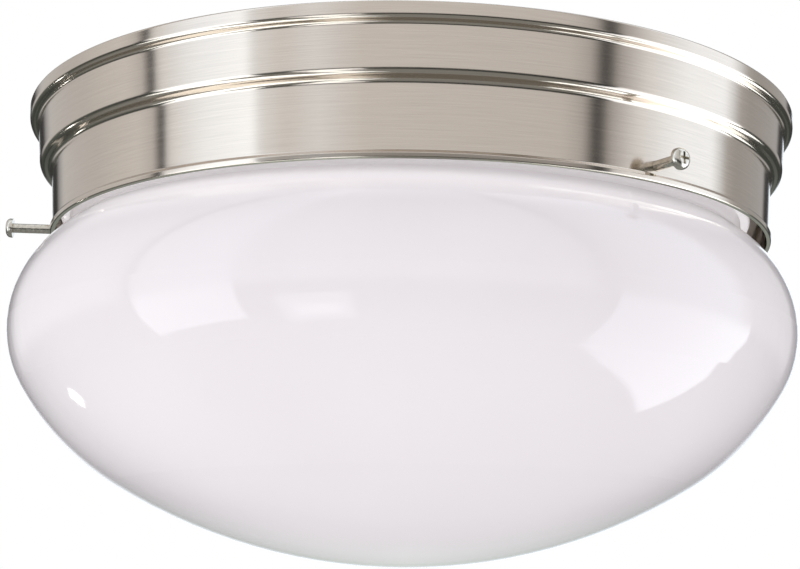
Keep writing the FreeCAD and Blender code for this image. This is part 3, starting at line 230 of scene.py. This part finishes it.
MATERIALS = {
    "satin_nickel": satin_nickel(),
    "nickel_screw": plated_screw(),
    "opal_glass": opal_glass(),
    "white_enamel": plain("white_enamel", (0.84, 0.84, 0.82), (0.90, 0.90, 0.885), 220, 0.22),
    "aluminium_rivet": plain("rivet_aluminium", (0.62, 0.62, 0.63), (0.80, 0.80, 0.81), 700, 0.25, 1.0),
    "glass_fibre": plain("glass_fibre_mat", (0.72, 0.62, 0.30), (0.90, 0.82, 0.52), 420, 0.8, 0.0, 0.9, 8.0),
    "zinc_steel": plain("zinc_plate", (0.52, 0.54, 0.57), (0.74, 0.76, 0.78), 260, 0.26, 1.0),
    "brass": plain("turned_brass", (0.70, 0.50, 0.20), (0.86, 0.68, 0.34), 340, 0.2, 1.0),
    "green_screw": plain("green_plate", (0.04, 0.26, 0.08), (0.10, 0.42, 0.16), 500, 0.25, 0.6),
    "porcelain": plain("glazed_porcelain", (0.80, 0.79, 0.755), (0.88, 0.87, 0.84), 120, 0.1),
    "frosted_glass": plain("frosted_bulb", (0.86, 0.86, 0.85), (0.93, 0.93, 0.92), 60, 0.3),
    "bulb_aluminium": plain("bulb_base_sheet", (0.66, 0.66, 0.67), (0.84, 0.84, 0.85), 420, 0.2, 1.0),
    "black_glass": plain("black_glass", (0.01, 0.01, 0.012), (0.03, 0.03, 0.035), 300, 0.08),
    "bulb_contact": plain("tinned_contact", (0.55, 0.54, 0.50), (0.78, 0.76, 0.70), 800, 0.3, 1.0),
    "black_lead": plain("black_insulation", (0.012, 0.012, 0.012), (0.035, 0.035, 0.036), 500, 0.42),
    "white_lead": plain("white_insulation", (0.74, 0.74, 0.71), (0.84, 0.84, 0.81), 500, 0.4),
    "black_nylon": plain("black_nylon", (0.015, 0.015, 0.015), (0.04, 0.04, 0.04), 600, 0.4),
    "connector_plastic": plain("orange_plastic", (0.72, 0.22, 0.03), (0.85, 0.32, 0.06), 400, 0.38),
}
for part in frame["record"]["subparts"]:
    thing = frame["nodes"][part["node"]]
    thing.data.materials.clear()
    thing.data.materials.append(MATERIALS[part["material_slot"]])


# Canopy, turned from the sheet's outline: radius, height and round of each corner in millimetres
CANOPY_OUTSIDE = [
    (137.3, 0.0, 0.0), (144.3, 0.0, 0.7), (144.0, -5.15, 1.6), (141.0, -5.6, 1.2),
    (139.7, -21.25, 2.2), (135.4, -21.9, 1.8), (134.0, -43.7, 0.5), (135.0, -44.8, 0.3),
    (134.72, -46.35, 0.4),
]
CANOPY_INSIDE = [
    (133.2, -46.35, 0.0), (133.2, -43.9, 0.0), (134.6, -20.8, 2.8), (138.9, -20.8, 1.2),
    (140.2, -4.65, 2.1), (143.2, -4.65, 0.5), (143.5, -0.8, 0.0), (137.3, -0.8, 0.0),
]
CANOPY_SIDES = 360
SHARP_EDGE = 28
SCREW_BEARINGS = (-55, 65, 185)
SCREW_LEVEL = -40.95
SCREW_BORE = 1.8
COLLAR_OUTSIDE = 133.6
COLLAR_DEPTH = 1.5
COLLAR_END, COLLAR_ROOT = 2.7, 3.3
BORE_REACH = 4.0
PEG_SIDES = 48


def rounded(corners, steps=7, margin=0.12):
    """Points along a closed outline with rounded corners, and a point close to each end of a run."""
    points = []
    for number, (radius, height, round_off) in enumerate(corners):
        corner = Vector((radius, height))
        back = Vector(corners[number - 1][:2]) - corner
        ahead = Vector(corners[(number + 1) % len(corners)][:2]) - corner
        to_back, to_ahead = back.normalized(), ahead.normalized()
        half = to_back.angle(to_ahead) / 2
        setback = round_off / math.tan(half)
        if round_off == 0:
            points += [corner + to_back * margin, corner, corner + to_ahead * margin]
            continue
        middle = corner + (to_back + to_ahead).normalized() * (round_off / math.sin(half))
        first, last = corner + to_back * setback, corner + to_ahead * setback
        start, end = first - middle, last - middle
        turn = start.angle(end)
        points.append(first + to_back * margin)
        for step in range(steps + 1):
            share = step / steps
            mixed = start * math.sin((1 - share) * turn) + end * math.sin(share * turn)
            points.append(middle + mixed / math.sin(turn))
        points.append(last + to_ahead * margin)
    return points


def put_in_scene(name, data):
    """New object in the scene from a mesh, a light or a camera."""
    thing = bpy.data.objects.new(name, data)
    bpy.context.scene.collection.objects.link(thing)
    return thing


def from_grid(name, grid):
    """New object in the scene from a finished bmesh."""
    mesh = bpy.data.meshes.new(name)
    grid.to_mesh(mesh)
    grid.free()
    return put_in_scene(name, mesh)


def turned(name, outline, sides):
    """Closed ring mesh from an outline of radius and height."""
    grid = bmesh.new()
    rings = []
    for side in range(sides):
        angle = 2 * math.pi * side / sides
        direction = Vector((math.cos(angle), math.sin(angle), 0))
        places = [direction * (p.x / 1000) + Vector((0, 0, p.y / 1000)) for p in outline]
        rings.append([grid.verts.new(place) for place in places])
    for side, ring in enumerate(rings):
        following = rings[(side + 1) % sides]
        for place in range(len(outline)):
            after = (place + 1) % len(outline)
            grid.faces.new((ring[place], following[place], following[after], ring[after]))
    bmesh.ops.recalc_face_normals(grid, faces=grid.faces)
    return from_grid(name, grid)


def peg(name, start, start_radius, end, end_radius):
    """Closed round peg along Z between two heights, in millimetres."""
    grid = bmesh.new()
    middle = Matrix.Translation((0, 0, (start + end) / 2000))
    bmesh.ops.create_cone(
        grid, cap_ends=True, segments=PEG_SIDES, radius1=start_radius / 1000,
        radius2=end_radius / 1000, depth=(end - start) / 1000, matrix=middle,
    )
    return from_grid(name, grid)


def laid(thing, bearing, reach, height):
    """Lays a piece that stands along Z along a bearing, at a radius and a height."""
    spin = Matrix.Rotation(math.radians(bearing), 4, "Z")
    move = Matrix.Translation((reach / 1000, 0, height / 1000))
    thing.data.transform(spin @ move @ Matrix.Rotation(math.radians(90), 4, "Y"))


def merged(target, tool, operation):
    """Applies a boolean of tool to target, and removes tool."""
    change = target.modifiers.new(operation, "BOOLEAN")
    change.operation = operation
    change.solver = "EXACT"
    change.object = tool
    shape = target.evaluated_get(bpy.context.evaluated_depsgraph_get())
    target.data = bpy.data.meshes.new_from_object(shape)
    target.modifiers.clear()
    bpy.data.objects.remove(tool)


def make_canopy():
    """Canopy with its ledges, hem, drawn collars and holes."""
    outline = rounded(CANOPY_OUTSIDE + CANOPY_INSIDE)
    canopy = turned("canopy_turned", outline, CANOPY_SIDES)
    for bearing in SCREW_BEARINGS:
        collar = peg("collar", -COLLAR_DEPTH, COLLAR_END, 0.0, COLLAR_ROOT)
        laid(collar, bearing, COLLAR_OUTSIDE, SCREW_LEVEL)
        merged(canopy, collar, "UNION")
        bore = peg("bore", -BORE_REACH, SCREW_BORE, BORE_REACH, SCREW_BORE)
        laid(bore, bearing, COLLAR_OUTSIDE, SCREW_LEVEL)
        merged(canopy, bore, "DIFFERENCE")
    canopy.data.materials.clear()
    canopy.data.materials.append(MATERIALS["satin_nickel"])
    for face in canopy.data.polygons:
        face.use_smooth = True
    canopy.data.set_sharp_from_angle(angle=math.radians(SHARP_EDGE))
    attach(canopy, "fixture")
    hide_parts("canopy")
    return canopy


canopy = make_canopy()
frame["nodes"]["glass_shade"].visible_glossy = False


# Surroundings: brightness by bearing in degrees, from the camera's side towards its right.
# WALL_TONES is what the bands mirror, LOW_TONES what the ledges and the hem mirror, and
# DAY_TONES the plain light on everything else.
WALL_TONES = [
    (-180, 1.15), (-163, 1.00), (-158, 0.05), (-149, 0.04), (-145, 0.34), (-139, 0.64),
    (-112, 0.66), (-91, 0.82), (-84, 0.68), (-82, 0.10), (-80, 0.10), (-78.5, 0.95),
    (-64, 1.35), (-49, 1.54), (-46, 1.05), (-38, 0.90), (-28, 1.02), (-15, 0.82),
    (44, 0.74), (51, 0.58), (54.5, 0.10), (57, 0.10), (60, 0.50), (70, 0.98),
    (86, 1.38), (103, 1.42), (112, 0.52), (118, 0.44), (144, 0.47), (147, 0.05),
    (155.5, 0.05), (159, 1.15),
]
LOW_TONES = [
    (-180, 0.60), (-170, 0.35), (-160, 0.05), (-135, 0.13), (-90, 0.07), (-40, 0.09), (0, 0.045),
    (48, 0.03), (118, 0.08), (160, 0.06), (170, 0.40), (180, 0.60),
]
DAY_TONES = [
    (-180, 1.08), (-110, 1.22), (-50, 1.04), (10, 0.95),
    (45, 0.98), (100, 1.45), (150, 1.15), (180, 1.08),
]
DAYLIT = (0.94, 1.03, 1.13)
FILL_TONE = (1.9, 1.9, 1.9)
FILL_SHARE = 0.45
WHITE = (1.0, 1.0, 1.0)


class Surroundings(Nodes):
    """Node tree of the studio, where a place is a bearing from the camera's side and a height."""

    def __init__(self, tree):
        super().__init__(tree)
        split = self.add("ShaderNodeSeparateXYZ")
        self.link(self.add("ShaderNodeTexCoord").outputs["Generated"], split.inputs[0])
        x, y, self.rise = split.outputs
        bearing = self.math("ARCTAN2", x, self.math("MULTIPLY", y, -1.0))
        self.turn = self.math("ADD", self.math("MULTIPLY", bearing, 0.5 / math.pi), 0.5)

    @staticmethod
    def at(degrees):
        return degrees / 360 + 0.5

    def tones(self, stops, dim=WHITE, bright=WHITE):
        """Levels by bearing, in one tint where they are dim and another where they are bright."""
        places = []
        for place, tone in stops:
            share = min(max((tone - 0.85) / 0.3, 0.0), 1.0)
            colour = tuple(tone * (low + (high - low) * share) for low, high in zip(dim, bright))
            places.append((self.at(place), colour))
        return self.ramp(self.turn, places, "LINEAR")

    def between(self, value, low, high, soft):
        """One between two values, with soft ends."""
        rising = self.span(value, low - soft, low + soft, True)
        falling = self.span(value, high + soft, high - soft, True)
        return self.math("MULTIPLY", rising, falling)

    def window(self, left, right, bottom, top, soft=0.8):
        """Mask of a bright rectangle between bearings and heights, all in degrees."""
        across = self.between(self.turn, self.at(left), self.at(right), soft / 360)
        low, high = math.sin(math.radians(bottom)), math.sin(math.radians(top))
        up = self.between(self.rise, low, high, math.radians(soft))
        return self.math("MULTIPLY", across, up)


def studio():
    """Soft boxes, screens and dark gaps round the object."""
    world = bpy.data.worlds.new("studio")
    bpy.context.scene.world = world
    world.use_nodes = True
    nodes = Surroundings(world.node_tree)
    walls = nodes.tones(WALL_TONES, bright=DAYLIT)
    low = nodes.tones(LOW_TONES, dim=(0.95, 1.08, 0.98))
    glow_stops = [(nodes.at(58), (1.5, 1.6, 1.75)), (nodes.at(96), (2.6, 2.75, 2.9))]
    glow = nodes.ramp(nodes.turn, glow_stops, "LINEAR")
    for mask, tone in (
        (nodes.span(nodes.rise, -0.35, -0.65, True), (0.28, 0.29, 0.28)),
        (nodes.window(-79, -47, -30, 40), (2.05, 2.20, 2.35)),
        (nodes.window(-36, -15, -36, -14), (1.15, 1.20, 1.25)),
        (nodes.window(-32, -18, -31, -23, 1.5), (2.2, 2.3, 2.4)),
        (nodes.window(60, 112, -46, 40), glow),
        (nodes.window(-132, -129, -23.5, -20.5), (16.0, 16.0, 16.0)),
    ):
        low = nodes.mix(mask, low, tone)
    scenery = nodes.mix(nodes.span(nodes.rise, -0.14, 0.02, True), low, walls)
    overhead = nodes.ramp(nodes.span(nodes.rise, -1.0, 1.0), [
        (0.0, (0.92, 0.91, 0.92)),
        (0.4, (0.90, 0.89, 0.90)),
        (0.6, (0.79, 0.78, 0.79)),
        (1.0, (0.72, 0.72, 0.72)),
    ])
    fill = nodes.math("MULTIPLY", nodes.window(-130, 30, -35, 15, 25.0), FILL_SHARE)
    daylight = nodes.add("ShaderNodeMix", data_type="RGBA", blend_type="MULTIPLY")
    daylight.inputs[0].default_value = 1.0
    nodes.link(overhead, daylight.inputs[6])
    nodes.link(nodes.tones(DAY_TONES), daylight.inputs[7])
    path = nodes.add("ShaderNodeLightPath")
    light = nodes.mix(fill, daylight.outputs[2], FILL_TONE)
    light = nodes.mix(path.outputs["Is Glossy Ray"], light, scenery)
    light = nodes.mix(path.outputs["Is Camera Ray"], light, WHITE)
    background = nodes.add("ShaderNodeBackground")
    nodes.link(light, background.inputs[0])
    background.inputs[1].default_value = 1.0
    output = nodes.add("ShaderNodeOutputWorld")
    nodes.link(background.outputs[0], output.inputs[0])


# Name, bearing and rise in degrees, width and height in metres, and radiance
SOFT_BOXES = (
    ("soft_box_left", -75, -54, 0.50, 1.10, 2.2),
    ("soft_box_front", -27, -52, 0.17, 0.90, 1.5),
    ("soft_box_right", 118, -50, 0.80, 0.90, 2.2),
    ("soft_box_side", 121, -34, 0.36, 0.62, 2.4),
)
SOFT_BOX_DISTANCE = 1.2
SOFT_BOX_COLOUR = (0.90, 0.97, 1.0)


def make_soft_box(name, bearing, rise, width, height, radiance, seen_by):
    """Soft box that faces the canopy and lights nothing else."""
    data = bpy.data.lights.new(name, "AREA")
    data.shape = "RECTANGLE"
    data.size, data.size_y = width, height
    data.energy = radiance * math.pi * width * height
    data.color = SOFT_BOX_COLOUR
    lamp = put_in_scene(name, data)
    turn, up = math.radians(bearing), math.radians(rise)
    away = Vector((math.sin(turn) * math.cos(up), -math.cos(turn) * math.cos(up), math.sin(up)))
    lamp.location = away * SOFT_BOX_DISTANCE
    lamp.rotation_euler = away.to_track_quat("Z", "Y").to_euler()
    lamp.visible_camera = False
    lamp.light_linking.receiver_collection = seen_by


studio()
metal = bpy.data.collections.new("canopy_lighting")
metal.objects.link(canopy)
for box in SOFT_BOXES:
    make_soft_box(*box, metal)

# Floor, in metres
FLOOR_REACH = 6.0
FLOOR_LEVEL = -0.9


def make_floor():
    made = plain("pale_floor", (0.90, 0.90, 0.90), (0.94, 0.94, 0.94), 5, 0.6)
    mesh = bpy.data.meshes.new("floor")
    signs = ((-1, -1), (1, -1), (1, 1), (-1, 1))
    corners = [(x * FLOOR_REACH, y * FLOOR_REACH, FLOOR_LEVEL) for x, y in signs]
    mesh.from_pydata(corners, [], [(0, 1, 2, 3)])
    floor = put_in_scene("floor", mesh)
    mesh.materials.append(made)
    floor.visible_glossy = False
    floor.visible_diffuse = False


make_floor()


# Camera: below the light, looking up at it. Degrees, metres, and millimetres for the lens
CAMERA_PLACE = (0.0, -0.598059, -0.180076)
CAMERA_RISE = 12.80
CAMERA_TURNS = ((2, -2.118), (0, -1.226), (1, -0.740))
CAMERA_LENS = 71.955
CAMERA_SENSOR = 36.0
CAMERA_SHIFT = -0.09
CAMERA_NEAR = 0.01


def make_camera():
    """Camera at the photograph's angle; each turn is about its right, forward or up axis."""
    data = bpy.data.cameras.new("camera")
    camera = put_in_scene("camera", data)
    data.sensor_width = CAMERA_SENSOR
    data.lens = CAMERA_LENS
    data.shift_x = CAMERA_SHIFT
    data.clip_start = CAMERA_NEAR
    rise = math.radians(CAMERA_RISE)
    forward = Vector((0, math.cos(rise), math.sin(rise)))
    right = Vector((1, 0, 0))
    up = right.cross(forward)
    for axis, angle in CAMERA_TURNS:
        about = (right, forward, up)[axis]
        spin = Matrix.Rotation(math.radians(angle), 3, about)
        right, forward, up = spin @ right, spin @ forward, spin @ up
    camera.matrix_world = Matrix((
        (right.x, up.x, -forward.x, CAMERA_PLACE[0]),
        (right.y, up.y, -forward.y, CAMERA_PLACE[1]),
        (right.z, up.z, -forward.z, CAMERA_PLACE[2]),
        (0, 0, 0, 1),
    ))
    bpy.context.scene.camera = camera


make_camera()
bpy.context.scene.view_settings.view_transform = "Standard"
